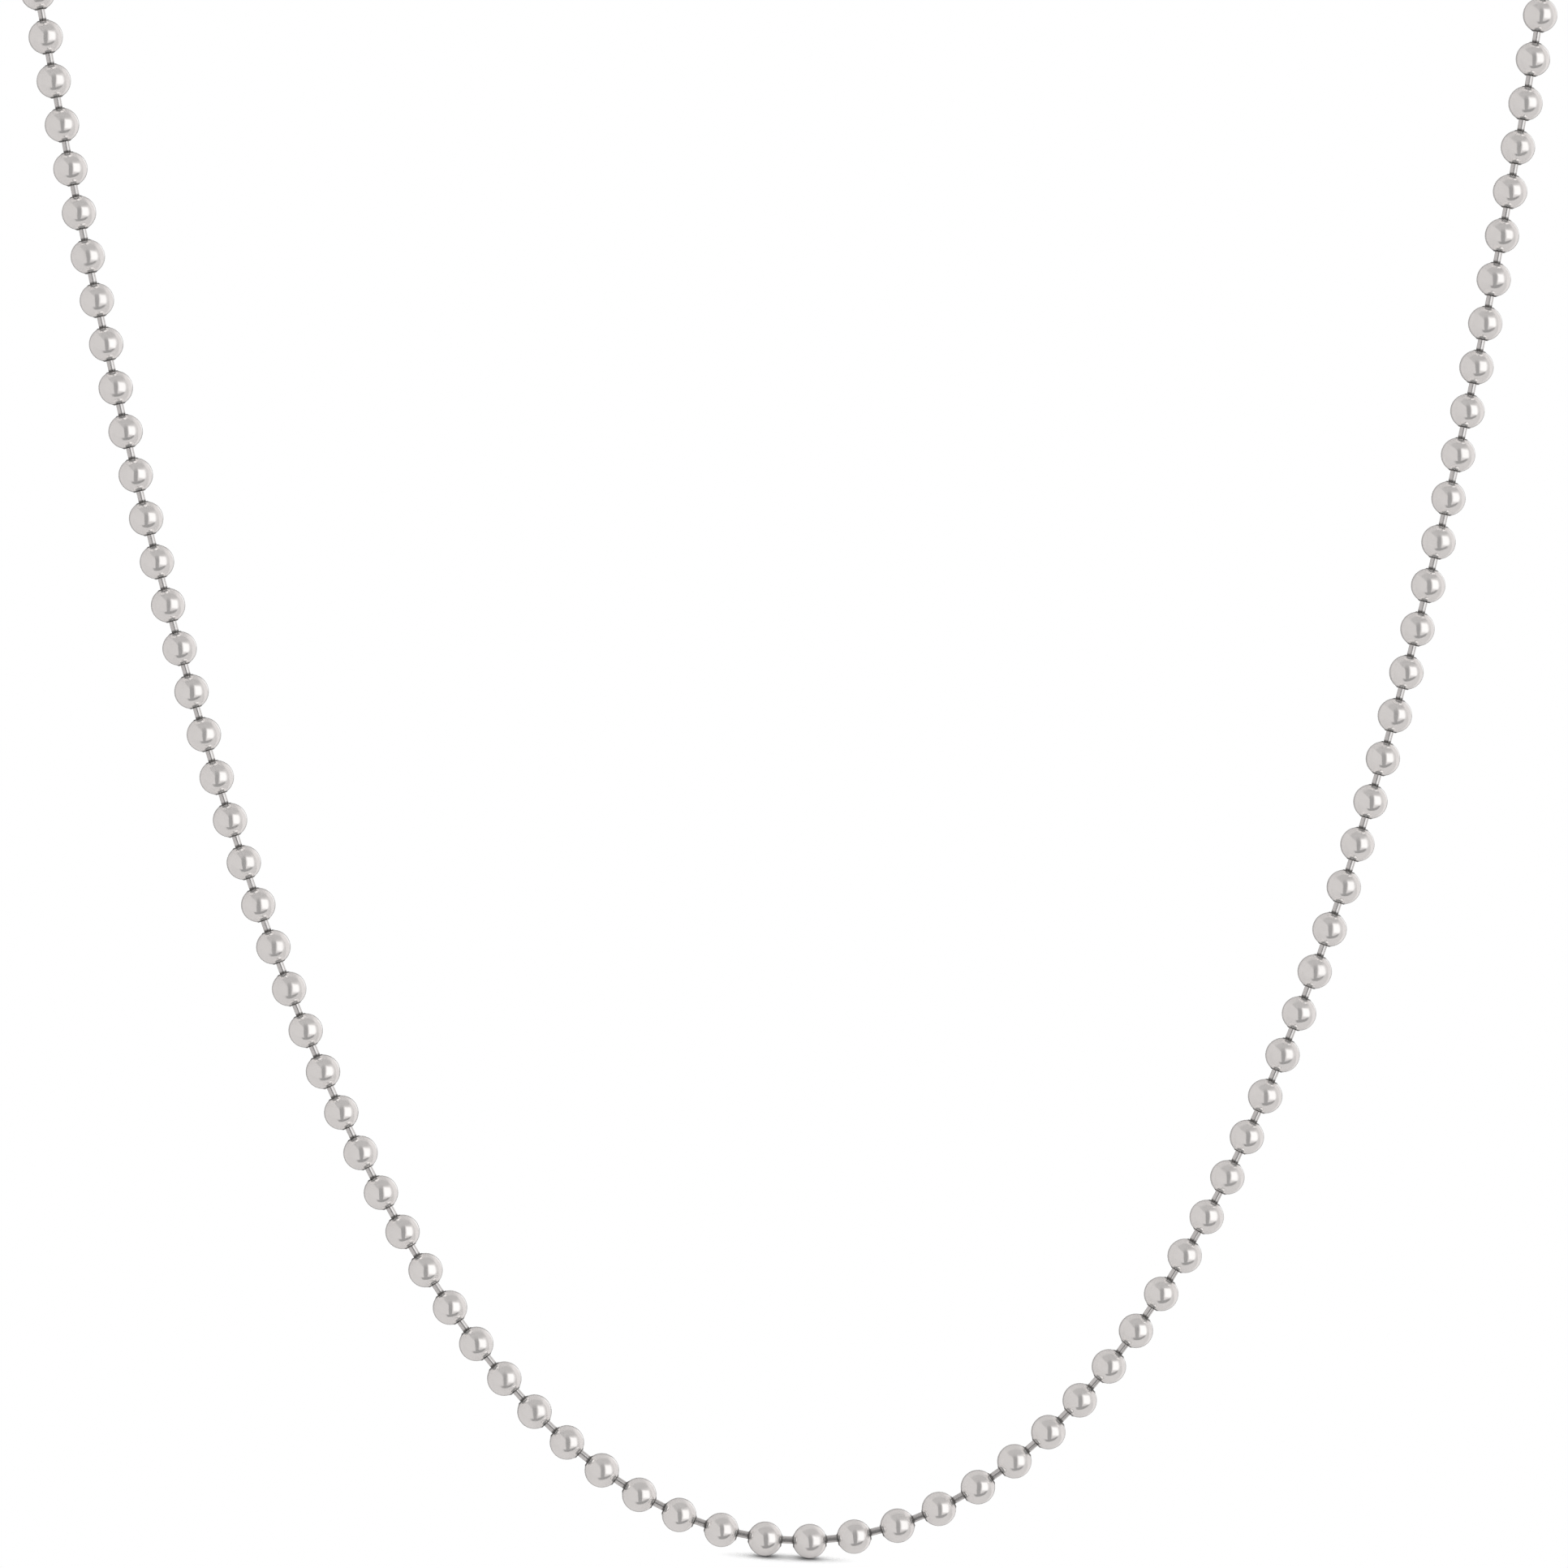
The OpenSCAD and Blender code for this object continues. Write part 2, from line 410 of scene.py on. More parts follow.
def wall(radius, half_angle, steps):
    """One face of the ball's wall, as far above its middle as below."""
    sweep = calc(balls_tree, "MULTIPLY", half_angle, 2)
    return arc(balls_tree, radius, minus(balls_tree, half_angle), sweep, steps)


foot_up = height_at(balls_tree, given["Ball Radius"], given["Collar Foot"])
bore_up = height_at(balls_tree, given["Cavity Radius"], given["Hole Radius"])
foot_angle = calc(balls_tree, "ARCTAN2", foot_up, given["Collar Foot"])
bore_angle = calc(balls_tree, "ARCTAN2", bore_up, given["Hole Radius"])
outside = wall(given["Ball Radius"], foot_angle, given["Outer Steps"])
inside = wall(given["Cavity Radius"], bore_angle, given["Inner Steps"])
collar_width = calc(balls_tree, "SUBTRACT", given["Collar Radius"], given["Hole Radius"])
lip_radius = calc(balls_tree, "MULTIPLY", collar_width, 0.5)
lip_across = calc(balls_tree, "ADD", given["Hole Radius"], lip_radius)
lip_up = calc(balls_tree, "SUBTRACT", given["Rim Height"], lip_radius)
lip = add(
    balls_tree, "GeometryNodeTransform",
    {"Geometry": arc(balls_tree, lip_radius, 0.0, math.pi, given["Lip Steps"]),
     "Translation": point(balls_tree, lip_across, lip_up)},
).outputs[0]
slope = line(
    balls_tree, point(balls_tree, given["Collar Foot"], foot_up),
    point(balls_tree, given["Collar Radius"], lip_up),
)
bore = line(
    balls_tree, point(balls_tree, given["Hole Radius"], lip_up),
    point(balls_tree, given["Hole Radius"], bore_up),
)
collar = joined(balls_tree, slope, lip, bore)
ball_profile = joined(balls_tree, outside, inside, collar, flipped(balls_tree, collar))
turned_ball = use_group(
    balls_tree, lathe, {"Profile": ball_profile, "Sides": given["Sides"]}
)
one_ball = add(balls_tree, "GeometryNodeFlipFaces", {"Mesh": turned_ball}).outputs[0]
balls_tree.links.new(place_along_chain(balls_tree, given, one_ball), result["Mesh"])
print(f"{balls_tree.name}: {len(balls_tree.nodes)} nodes")

# %% [markdown]
# ## The rod's tree
# A rod is a short wire whose ends are upset into round heads, too large to leave the holes. Its
# profile runs from pole to pole: round one head, along the shank, and round the other. The
# tree draws a rod of the chain's mean length, and each rod is stretched or shrunk by the little
# that its own two holes ask for.

# %% Rods by Geometry Nodes
rods_tree, given, result = new_tree(
    "Dumbbell rods",
    {"Points": "Geometry", "Rod Radius": "Float", "Head Radius": "Float",
     "Half Length": "Float", "Sides": "Int", "Head Steps": "Int", "Seed": "Int",
     "Roll": "Float", "Steel": "Material"},
    {"Mesh": "Geometry"},
)
neck_up = height_at(rods_tree, given["Head Radius"], given["Rod Radius"])
neck_angle = calc(rods_tree, "ARCTAN2", neck_up, given["Rod Radius"])
head_round = arc(
    rods_tree, given["Head Radius"], minus(rods_tree, neck_angle),
    calc(rods_tree, "ADD", neck_angle, math.pi / 2), given["Head Steps"],
)
head = add(
    rods_tree, "GeometryNodeTransform",
    {"Geometry": head_round, "Translation": point(rods_tree, 0.0, given["Half Length"])},
).outputs[0]
shank_up = calc(rods_tree, "SUBTRACT", given["Half Length"], neck_up)
shank = line(
    rods_tree, point(rods_tree, given["Rod Radius"], shank_up),
    point(rods_tree, given["Rod Radius"], minus(rods_tree, shank_up)),
)
rod_profile = joined(rods_tree, head, shank, flipped(rods_tree, head))
one_rod = use_group(rods_tree, lathe, {"Profile": rod_profile, "Sides": given["Sides"]})
rods_tree.links.new(place_along_chain(rods_tree, given, one_rod), result["Mesh"])
print(f"{rods_tree.name}: {len(rods_tree.nodes)} nodes")

# %% [markdown]
# ## Handled and shaded steel
# Polished steel is never a perfect mirror. Stamping leaves each ball slightly wavy, tumbling
# leaves hair-fine marks, and wear makes some patches a touch duller. All parts share these, so
# they are one shader group. It takes a place in millimetres and gives a colour, a roughness and
# a normal, and each finish sets how strong the marks are on its own part. It also takes a mask
# of painted shade, which darkens the colour where parts meet.

# %% The shared shader group
handled, given, result = new_tree(
    "Handled and shaded steel",
    {"Place": "Vector", "Light Tone": "Color", "Dark Tone": "Color", "Painted Shade": "Float",
     "Wear": "Float", "Polish": "Float", "Dull": "Float", "Tone": "Float", "Spread": "Float",
     "Waves": "Float", "Marks": "Float"},
    {"Color": "Color", "Roughness": "Float", "Normal": "Vector"},
    kind="ShaderNodeTree",
)
WAVES = {"Scale": 0.55, "Detail": 1.5, "Roughness": 0.4}
PATCHES = {"Scale": 0.8, "Detail": 5.0, "Roughness": 0.6}
MARKS = {"Scale": 7.0, "Detail": 4.0, "Roughness": 0.7}
MARK_STRETCH = (1.0, 1.0, 0.07)
# The heights in the pattern of patches at which wear starts and is at its full strength
WORN_FROM, WORN_FULLY = 0.35, 0.7
# A power of the random tone. The greater it is, the fewer parts are clearly duller.
FEW_DULLER = 2.0


def noise(place, kind):
    """A random pattern of one kind."""
    return add(handled, "ShaderNodeTexNoise", {"Vector": place, **kind}).outputs[0]


waves = noise(given["Place"], WAVES)
patches = noise(given["Place"], PATCHES)
marks = noise(vector_calc(handled, "MULTIPLY", given["Place"], MARK_STRETCH), MARKS)
worn = fade(handled, patches, WORN_FROM, WORN_FULLY)
# Painted shade and worn patches both darken the colour towards the dark tone
darkened = calc(
    handled, "MAXIMUM", given["Painted Shade"], calc(handled, "MULTIPLY", worn, given["Wear"])
)
tint = mixed(handled, darkened, given["Light Tone"], given["Dark Tone"])
sheen = add(
    handled, "ShaderNodeMapRange",
    {"Value": calc(handled, "MAXIMUM", given["Painted Shade"], worn),
     "To Min": given["Polish"], "To Max": given["Dull"]},
).outputs[0]
duller = calc(
    handled, "MULTIPLY", calc(handled, "POWER", given["Tone"], FEW_DULLER), given["Spread"]
)
height = calc(
    handled, "ADD", calc(handled, "MULTIPLY", waves, given["Waves"]),
    calc(handled, "MULTIPLY", marks, given["Marks"]),
)
bump = add(handled, "ShaderNodeBump", {"Height": height, "Distance": MM, "Strength": 1.0})
handled.links.new(tint, result["Color"])
handled.links.new(calc(handled, "ADD", sheen, duller), result["Roughness"])
handled.links.new(bump.outputs[0], result["Normal"])
print(f"{handled.name}: {len(handled.nodes)} nodes")


def steel(name, mirror, marks_of_use, place_of, painted_shade_of=None):
    """A steel finish. Two functions draw their part of the tree: the place, and a mask of
    painted shade.
    """
    material = bpy.data.materials.new(name)
    material.use_nodes = True
    tree = material.node_tree
    shader = tree.nodes["Principled BSDF"]
    shader.inputs["Metallic"].default_value = mirror
    worn_and_shaded = tree.nodes.new("ShaderNodeGroup")
    worn_and_shaded.node_tree = handled
    for socket, value in marks_of_use.items():
        worn_and_shaded.inputs[socket].default_value = value
    tree.links.new(place_of(tree), worn_and_shaded.inputs["Place"])
    tree.links.new(attribute(tree, "tone").outputs["Fac"], worn_and_shaded.inputs["Tone"])
    # A mask of painted shade, where the finish has one
    if painted_shade_of:
        tree.links.new(painted_shade_of(tree), worn_and_shaded.inputs["Painted Shade"])
    tree.links.new(worn_and_shaded.outputs["Color"], shader.inputs["Base Color"])
    tree.links.new(worn_and_shaded.outputs["Roughness"], shader.inputs["Roughness"])
    tree.links.new(worn_and_shaded.outputs["Normal"], shader.inputs["Normal"])
    return material


def attribute(tree, name):
    """A node that reads a named attribute of the mesh."""
    return add(tree, "ShaderNodeAttribute", attribute_name=name)


# %% [markdown]
# ## Three finishes
# The balls are tumbled to a soft mirror, the rods are drawn wire, and the clasp is rubbed
# sheet. Balls and rods take their marks from their own coordinates, shifted by their random
# tone so that no two carry the same ones. Drawing leaves fine grooves along a wire, which
# spread each reflection across it, so the rods' gloss has a direction. Shade is painted dark on
# the collars round the holes and on the rods where they go into them.

# %% The finishes
LIGHT_STEEL = (0.83, 0.807, 0.793, 1.0)
WIRE_STEEL = (0.80, 0.783, 0.775, 1.0)
# The dark tone of the painted shade at the holes, and of worn patches
SHADE_AND_WEAR_STEEL = (0.16, 0.155, 0.15, 1.0)
# The share of each finish that is a mirror. Its finest scratches make the rest dull.
BALL_MIRROR, ROD_MIRROR, CLASP_MIRROR = 0.8, 0.93, 0.8
# Parts are this many millimetres apart in the pattern of marks, from one tone to the next
TONE_SHIFT = 40.0
# Half of the length of rod that shows between two balls
HALF_BARE_ROD = 0.475 * MM
# Where the painted shade ends, in millimetres: across a collar, and along a rod from its middle
COLLAR_UNSHADED_FROM = COLLAR_FOOT / MM + 0.08
COLLAR_SHADED_TO = COLLAR_FOOT / MM - 0.04
ROD_UNSHADED_TO = HALF_BARE_ROD / MM - 0.1
ROD_SHADED_FROM = HALF_BARE_ROD / MM + 0.06
# How strongly the grooves of drawn wire spread its gloss, and the part of a full turn that lays
# the spread across the wire
GROOVES = 0.9
ACROSS_THE_RUN = 0.25


def own_coordinates(tree):
    """The part's own coordinates, moved to another stretch of the pattern for every part."""
    shift = calc(tree, "MULTIPLY", attribute(tree, "tone").outputs["Fac"], TONE_SHIFT)
    return vector_calc(tree, "ADD", attribute(tree, "in_part").outputs["Vector"], shift)


def object_coordinates(tree):
    """Object coordinates in millimetres."""
    return in_millimetres(tree, tree.nodes.new("ShaderNodeTexCoord").outputs["Object"])


def across_and_along(tree):
    """How far a point is from its part's axis, and how far from its middle, in millimetres."""
    in_part = attribute(tree, "in_part").outputs["Vector"]
    place = add(tree, "ShaderNodeSeparateXYZ", {0: in_part}).outputs
    squares = calc(
        tree, "ADD", calc(tree, "MULTIPLY", place["X"], place["X"]),
        calc(tree, "MULTIPLY", place["Y"], place["Y"]),
    )
    return calc(tree, "SQRT", squares), calc(tree, "ABSOLUTE", place["Z"])


def collar_painted_shade(tree):
    """Painted shade: 1 on the collar and in its bore, fading out just past its foot."""
    across, _ = across_and_along(tree)
    return fade(tree, across, COLLAR_UNSHADED_FROM, COLLAR_SHADED_TO)


def rod_end_painted_shade(tree):
    """Painted shade: 1 where a rod goes into a ball, fading out along the shank."""
    _, along_rod = across_and_along(tree)
    return fade(tree, along_rod, ROD_UNSHADED_TO, ROD_SHADED_FROM)


ball_steel = steel(
    "polished_ball_steel", BALL_MIRROR,
    {"Light Tone": LIGHT_STEEL, "Dark Tone": SHADE_AND_WEAR_STEEL, "Polish": 0.08, "Dull": 0.13,
     "Spread": 0.06, "Wear": 0.05, "Waves": 0.08, "Marks": 0.0006},
    own_coordinates, collar_painted_shade,
)
rod_steel = steel(
    "drawn_rod_steel", ROD_MIRROR,
    {"Light Tone": WIRE_STEEL, "Dark Tone": SHADE_AND_WEAR_STEEL, "Polish": 0.12, "Dull": 0.2,
     "Spread": 0.1, "Wear": 0.05, "Waves": 0.006, "Marks": 0.0008},
    own_coordinates, rod_end_painted_shade,
)
drawn = rod_steel.node_tree.nodes["Principled BSDF"].inputs
drawn["Anisotropic"].default_value = GROOVES
drawn["Anisotropic Rotation"].default_value = ACROSS_THE_RUN
rod_steel.node_tree.links.new(
    attribute(rod_steel.node_tree, "run").outputs["Vector"], drawn["Tangent"]
)
clasp_steel = steel(
    "rubbed_clasp_steel", CLASP_MIRROR,
    {"Light Tone": LIGHT_STEEL, "Dark Tone": SHADE_AND_WEAR_STEEL, "Polish": 0.12, "Dull": 0.24,
     "Wear": 0.1, "Waves": 0.02, "Marks": 0.0015},
    object_coordinates,
)
print("finishes:", [m.name for m in (ball_steel, rod_steel, clasp_steel)])

# %% [markdown]
# ## Dress the chain
# A point mesh carries each part's place and direction into its tree. The modifier's inputs are
# set by their identifiers before anything is evaluated. The result is taken as a plain mesh,
# and the modifier goes, so nothing of the tree is left to run later.

# %% Run a tree on a cloud of points
def made_by(tree, name, places, runs, stretches, values):
    """A plain mesh piece, from the tree run on points with a direction and a stretch each."""
    cloud = bpy.data.meshes.new(name + "_points")
    cloud.from_pydata([tuple(p) for p in places], [], [])
    run = cloud.attributes.new("run", "FLOAT_VECTOR", "POINT")
    run.data.foreach_set("vector", np.array(runs, np.float32).ravel())
    stretch = cloud.attributes.new("stretch", "FLOAT", "POINT")
    stretch.data.foreach_set("value", np.array(stretches, np.float32))
    piece = bpy.data.objects.new(name, cloud)
    bpy.context.scene.collection.objects.link(piece)
    modifier = piece.modifiers.new("Making", "NODES")
    modifier.node_group = tree
    sockets = {s.name: s.identifier for s in tree.interface.items_tree if s.in_out == "INPUT"}
    for label, value in values.items():
        modifier[sockets[label]] = value
    seen = piece.evaluated_get(bpy.context.evaluated_depsgraph_get())
    mesh = bpy.data.meshes.new_from_object(seen)
    piece.modifiers.clear()
    piece.data = mesh
    mesh.name = name
    bpy.data.meshes.remove(cloud)
    mesh.calc_loop_triangles()
    print(f"{name}: {len(places)} parts, {len(mesh.loop_triangles)} triangles")
    return piece


# %% [markdown]
# All the balls are alike, so one tree makes them all, with the same sizes. They come as two
# pieces that meet at the sides of the neck, which keeps each mesh lighter. Each piece draws its
# rolls and tones from its own seed, so that they don't repeat. The hidden inside and the small
# rolled rims need fewer steps than the round that shows.

# %% The balls, in two pieces
# A ball is rolled about the line through its holes by no more than this, either way
BALL_ROLL = math.radians(50)
FRONT_BALL_SEED, NECK_BALL_SEED = 3, 8
BALL_SIZES = {
    "Ball Radius": BALL_RADIUS, "Cavity Radius": CAVITY_RADIUS, "Hole Radius": HOLE_RADIUS,
    "Collar Radius": COLLAR_RADIUS, "Collar Foot": COLLAR_FOOT, "Rim Height": RIM_HEIGHT,
    "Sides": 32, "Outer Steps": 15, "Inner Steps": 6, "Lip Steps": 6,
    "Roll": BALL_ROLL, "Steel": ball_steel,
}
# The neck piece has this many balls on each side of the clasp
NECK_BALLS = 30
count = len(middles)
ball_number = np.arange(count)
in_front = (ball_number >= NECK_BALLS) & (ball_number < count - NECK_BALLS)
no_stretch = np.ones(count)
front_balls = made_by(
    balls_tree, "front_balls", middles[in_front], axes[in_front], no_stretch[in_front],
    {**BALL_SIZES, "Seed": FRONT_BALL_SEED},
)
neck_balls = made_by(
    balls_tree, "neck_balls", middles[~in_front], axes[~in_front], no_stretch[~in_front],
    {**BALL_SIZES, "Seed": NECK_BALL_SEED},
)

# %% [markdown]
# A rod's shank runs from the hole where it leaves one ball to the hole where it enters the
# next, and its heads lie inside the two balls. Its point is half way between, and its stretch
# is its own length over the length that the tree draws. The balls hang on the rods by the edges
# of their holes, so in front each rod sits a little high.

# %% The rods
# On each side of the clasp, this many rods are one joined wire in the construction model
WIRE_RODS = 22
FRONT_ROD_SEED, NAPE_ROD_SEED = 21, 34
HANGS_HIGH = np.array((0.0, 0.0, 0.11 * MM))
way_out = middles[:-1] + HOLE_MIDDLE * axes[:-1]
way_in = middles[1:] - HOLE_MIDDLE * axes[1:]
spans = way_in - way_out
half_lengths = np.linalg.norm(spans, axis=1) / 2 + (HOLE_MIDDLE - HEAD_CENTRE)
drawn_half = float(half_lengths.mean())
ROD_SIZES = {
    "Rod Radius": ROD_RADIUS, "Head Radius": HEAD_RADIUS, "Half Length": drawn_half,
    "Sides": 24, "Head Steps": 10, "Roll": math.pi, "Steel": rod_steel,
}
rod_number = np.arange(count - 1)
near_clasp = (rod_number < WIRE_RODS) | (rod_number >= count - 1 - WIRE_RODS)
halfway = (way_out + way_in) / 2
front_rods = made_by(
    rods_tree, "front_rods", halfway[~near_clasp] + HANGS_HIGH, spans[~near_clasp],
    half_lengths[~near_clasp] / drawn_half, {**ROD_SIZES, "Seed": FRONT_ROD_SEED},
)
nape_rods = made_by(
    rods_tree, "nape_rods", halfway[near_clasp], spans[near_clasp],
    half_lengths[near_clasp] / drawn_half, {**ROD_SIZES, "Seed": NAPE_ROD_SEED},
)

# %% [markdown]
# ## The clasp
# The clasp is a strip of sheet steel rolled into an open tube, with both ends drawn in round
# the rods. The end balls are pressed in through the wide slot, and their rods snap through the
# narrow ends of it. A tube could be cut open with a Boolean, but a grid of faces that follows
# the sheet from one edge of the slot round to the other stays even. Each row of the grid has
# its own height, radius and slot.

# %% Shape the sheet
SLEEVE_OUTSIDE = 2.1266 * MM
SLEEVE_THICK = 0.35 * MM
MOUTH_RADIUS = 0.66 * MM
HALF_SLOT = 1.3 * MM
HALF_MOUTH_SLOT = 0.561 * MM
HALF_PITCH = 2.6 * MM
SHEET_STEPS = 30
END_ROWS = 12
# The slot narrows to its mouth over this many rows of an end
NARROWING_ROWS = 2
# Rows of the straight part, as shares of half the distance between the end balls
STRAIGHT_ROWS = (0.9, 0.6, 0.3, 0.0)


def sleeve_rows():
    """Height along the axis, radius and half slot width for each row of the sheet."""
    turn = math.acos(MOUTH_RADIUS / SLEEVE_OUTSIDE)
    end = []
    for k in range(END_ROWS + 1):
        angle = turn * k / END_ROWS
        up = HALF_PITCH + SLEEVE_OUTSIDE * math.sin(angle)
        narrowing = min(1.0, k / NARROWING_ROWS)
        half_slot = HALF_SLOT + (HALF_MOUTH_SLOT - HALF_SLOT) * narrowing
        end.append((up, SLEEVE_OUTSIDE * math.cos(angle), half_slot))
    body = [(HALF_PITCH * share, SLEEVE_OUTSIDE, HALF_SLOT) for share in STRAIGHT_ROWS]
    upper = [*reversed(end), *body]
    return upper + [(-up, radius, slot) for up, radius, slot in reversed(upper[:-1])]


print("sheet rows:", len(sleeve_rows()))

# %% [markdown]
# The rows stand round the line between the two end balls, with the slot facing away from the
# neck. The grid alone is the outside of the sheet. Solidify adds the thickness on its inside,
# and Bevel rounds the edges, because a worn clasp has no sharp ones left.

# %% Stand the sheet at the nape and thicken it
RUBBED_WIDTH = 0.09 * MM
RUBBED_STEPS = 3
RUBBED_ANGLE = math.radians(50)

clasp_middle = (middles[0] + middles[-1]) / 2
clasp_run = (middles[0] - middles[-1]) / np.linalg.norm(middles[0] - middles[-1])
side = np.cross((0.0, 1.0, 0.0), clasp_run)
side /= np.linalg.norm(side)
outwards = np.cross(clasp_run, side)
corners = []
for up, radius, half_slot in sleeve_rows():
    edge_angle = math.asin(min(1.0, half_slot / radius))
    for k in range(SHEET_STEPS + 1):
        angle = edge_angle + (2 * math.pi - 2 * edge_angle) * k / SHEET_STEPS
        across = math.cos(angle) * outwards + math.sin(angle) * side
        corners.append(clasp_middle + up * clasp_run + radius * across)
row = SHEET_STEPS + 1
faces = [
    (r * row + k, r * row + k + 1, (r + 1) * row + k + 1, (r + 1) * row + k)
    for r in range(len(sleeve_rows()) - 1) for k in range(SHEET_STEPS)
]
sheet = bpy.data.meshes.new("clasp_sleeve")
sheet.from_pydata([tuple(c) for c in corners], [], faces)
sheet.materials.append(clasp_steel)
clasp_sleeve = bpy.data.objects.new("clasp_sleeve", sheet)
bpy.context.scene.collection.objects.link(clasp_sleeve)


def out_from_axis(place):
    """The way from the clasp's axis straight out to a place."""
    away = np.array(place) - clasp_middle
    return away - np.dot(away, clasp_run) * clasp_run


if sum(np.dot(f.normal, out_from_axis(f.center)) for f in sheet.polygons) < 0:
    sheet.flip_normals()
thick = clasp_sleeve.modifiers.new("Sheet", "SOLIDIFY")
thick.thickness, thick.offset, thick.use_even_offset = SLEEVE_THICK, -1.0, True
rubbed = clasp_sleeve.modifiers.new("Rubbed edges", "BEVEL")
rubbed.width, rubbed.segments = RUBBED_WIDTH, RUBBED_STEPS
rubbed.limit_method, rubbed.angle_limit = "ANGLE", RUBBED_ANGLE
seen_sheet = clasp_sleeve.evaluated_get(bpy.context.evaluated_depsgraph_get())
solid_sheet = bpy.data.meshes.new_from_object(seen_sheet)
clasp_sleeve.modifiers.clear()
clasp_sleeve.data = solid_sheet
solid_sheet.name = "clasp_sleeve"
solid_sheet.shade_smooth()
solid_sheet.set_sharp_from_angle(angle=SHARP_EDGE)
print("clasp faces:", len(solid_sheet.polygons))

# %% [markdown]
# ## Tie the pieces to the construction model
# Every piece rides on the model's one body and takes the place of the plain solid that it
# dresses. The joined wires at the nape are only the construction model's stand-in for rods, so
# the nape's rods take their place.

# %% Ride and replace
for piece, node, slot in (
    (front_balls, "balls", "ball_steel"), (neck_balls, "balls", "ball_steel"),
    (front_rods, "rods", "rod_steel"), (nape_rods, "nape_wires", "rod_steel"),
    (clasp_sleeve, "clasp", "clasp_steel"),
):
    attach(piece, "root")
    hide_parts(node)

# %% [markdown]
# ## Camera
# The necklace was photographed flat on with a long lens, here from a little over a metre. The
# width that the picture takes in at the front of the necklace and the lens's angle give the
# distance. The camera is turned by half a degree, because the bow hangs that much askew.

# %% Set the camera
PICTURE_WIDTH = 145.498 * MM
PICTURE_MIDDLE = (-1.355 * MM, -115.726 * MM)
LENS, SENSOR = 300.0, 36.0
ASKEW = math.radians(0.4873)
# The nearest and the farthest that the camera sees, in metres
NEAREST, FARTHEST = 0.01, 20.0
front_plane = float(middles[:, 1].min())
lens_data = bpy.data.cameras.new("studio_camera")
lens_data.lens, lens_data.sensor_width = LENS, SENSOR
lens_data.clip_start, lens_data.clip_end = NEAREST, FARTHEST
camera = bpy.data.objects.new("studio_camera", lens_data)
camera.location = (
    PICTURE_MIDDLE[0], front_plane - PICTURE_WIDTH * LENS / SENSOR, PICTURE_MIDDLE[1]
)
camera.rotation_euler = (math.pi / 2, ASKEW, 0.0)
bpy.context.scene.collection.objects.link(camera)
bpy.context.scene.camera = camera
print(f"camera {-camera.location.y:.3f} m in front")

# %% [markdown]
# ## Floor
# The necklace hangs so that its two lowest balls just reach a sheet of white paper. The paper
# tilts sideways from one of them to the other and rises by nine degrees towards the back, so
# that the camera sees a thin strip of their shadow. The paper fades out round the two balls,
# because only their own shadow shows on the white. It is hidden from the steel, which shows the
# studio's own table in the world below.

# %% Lay the floor
FLOOR_GAP = 0.02 * MM
FLOOR_HALF = 0.12
BACK_SLOPE = math.tan(math.radians(9))
PAPER_WHITE = (0.62, 0.62, 0.62, 1.0)
PAPER_ROUGHNESS = 0.9
# Half the width and half the depth of the patch of paper that shows
PATCH_HALF_WIDTH = 6.6 * MM
PATCH_HALF_DEPTH = 2.4 * MM
# The share of the patch, from its middle, over which the paper shows in full
PATCH_CORE = 0.3

left_low, right_low = sorted(middles[np.argsort(middles[:, 2])[:2]], key=lambda m: m[0])
side_slope = (right_low[2] - left_low[2]) / (right_low[0] - left_low[0])
floor_drop = (BALL_RADIUS + FLOOR_GAP) * math.sqrt(1 + side_slope ** 2 + BACK_SLOPE ** 2)
under_left = left_low - (0, 0, floor_drop)
floor_mesh = bpy.data.meshes.new("floor")
floor_mesh.from_pydata(
    [
        tuple(under_left + np.array((x, y, side_slope * x + BACK_SLOPE * y)) * FLOOR_HALF)
        for x, y in ((-1, -1), (1, -1), (1, 1), (-1, 1))
    ], [], [(0, 1, 2, 3)],
)
floor = bpy.data.objects.new("floor", floor_mesh)
bpy.context.scene.collection.objects.link(floor)
floor.visible_glossy = False
paper = bpy.data.materials.new("white_paper")
paper.use_nodes = True
sheet_tree = paper.node_tree
matt = sheet_tree.nodes["Principled BSDF"].inputs
matt["Base Color"].default_value = PAPER_WHITE
matt["Roughness"].default_value = PAPER_ROUGHNESS
matt["Specular IOR Level"].default_value = 0.0
lies_at = sheet_tree.nodes.new("ShaderNodeTexCoord").outputs["Object"]
away = vector_calc(sheet_tree, "SUBTRACT", lies_at, tuple((left_low + right_low) / 2))
patch_shares = vector_calc(
    sheet_tree, "MULTIPLY", away, (1 / PATCH_HALF_WIDTH, 1 / PATCH_HALF_DEPTH, 0.0)
)
from_patch_middle = add(
    sheet_tree, "ShaderNodeVectorMath", {0: patch_shares}, operation="LENGTH"
).outputs["Value"]
sheet_tree.links.new(
    fade(sheet_tree, from_patch_middle, 1.0, PATCH_CORE, "SMOOTHSTEP"), matt["Alpha"]
)
floor_mesh.materials.append(paper)
print(f"floor {floor_drop / MM:.2f} mm under the middle of the left low ball")

# %% [markdown]
# ## Light
# Polished steel shows its surroundings rather than its own colour, so the studio is the look.
# It is a small grey tent with a plain card on the left, a lit softbox on the right, a darker
# gap between them where the camera stands, and a small lamp behind. The world draws these by
# direction with soft edges, and only reflections see them. There is no lamp object: the same
# world lights the paper as an even dome that is brighter overhead, and the camera sees plain
# white behind the necklace.

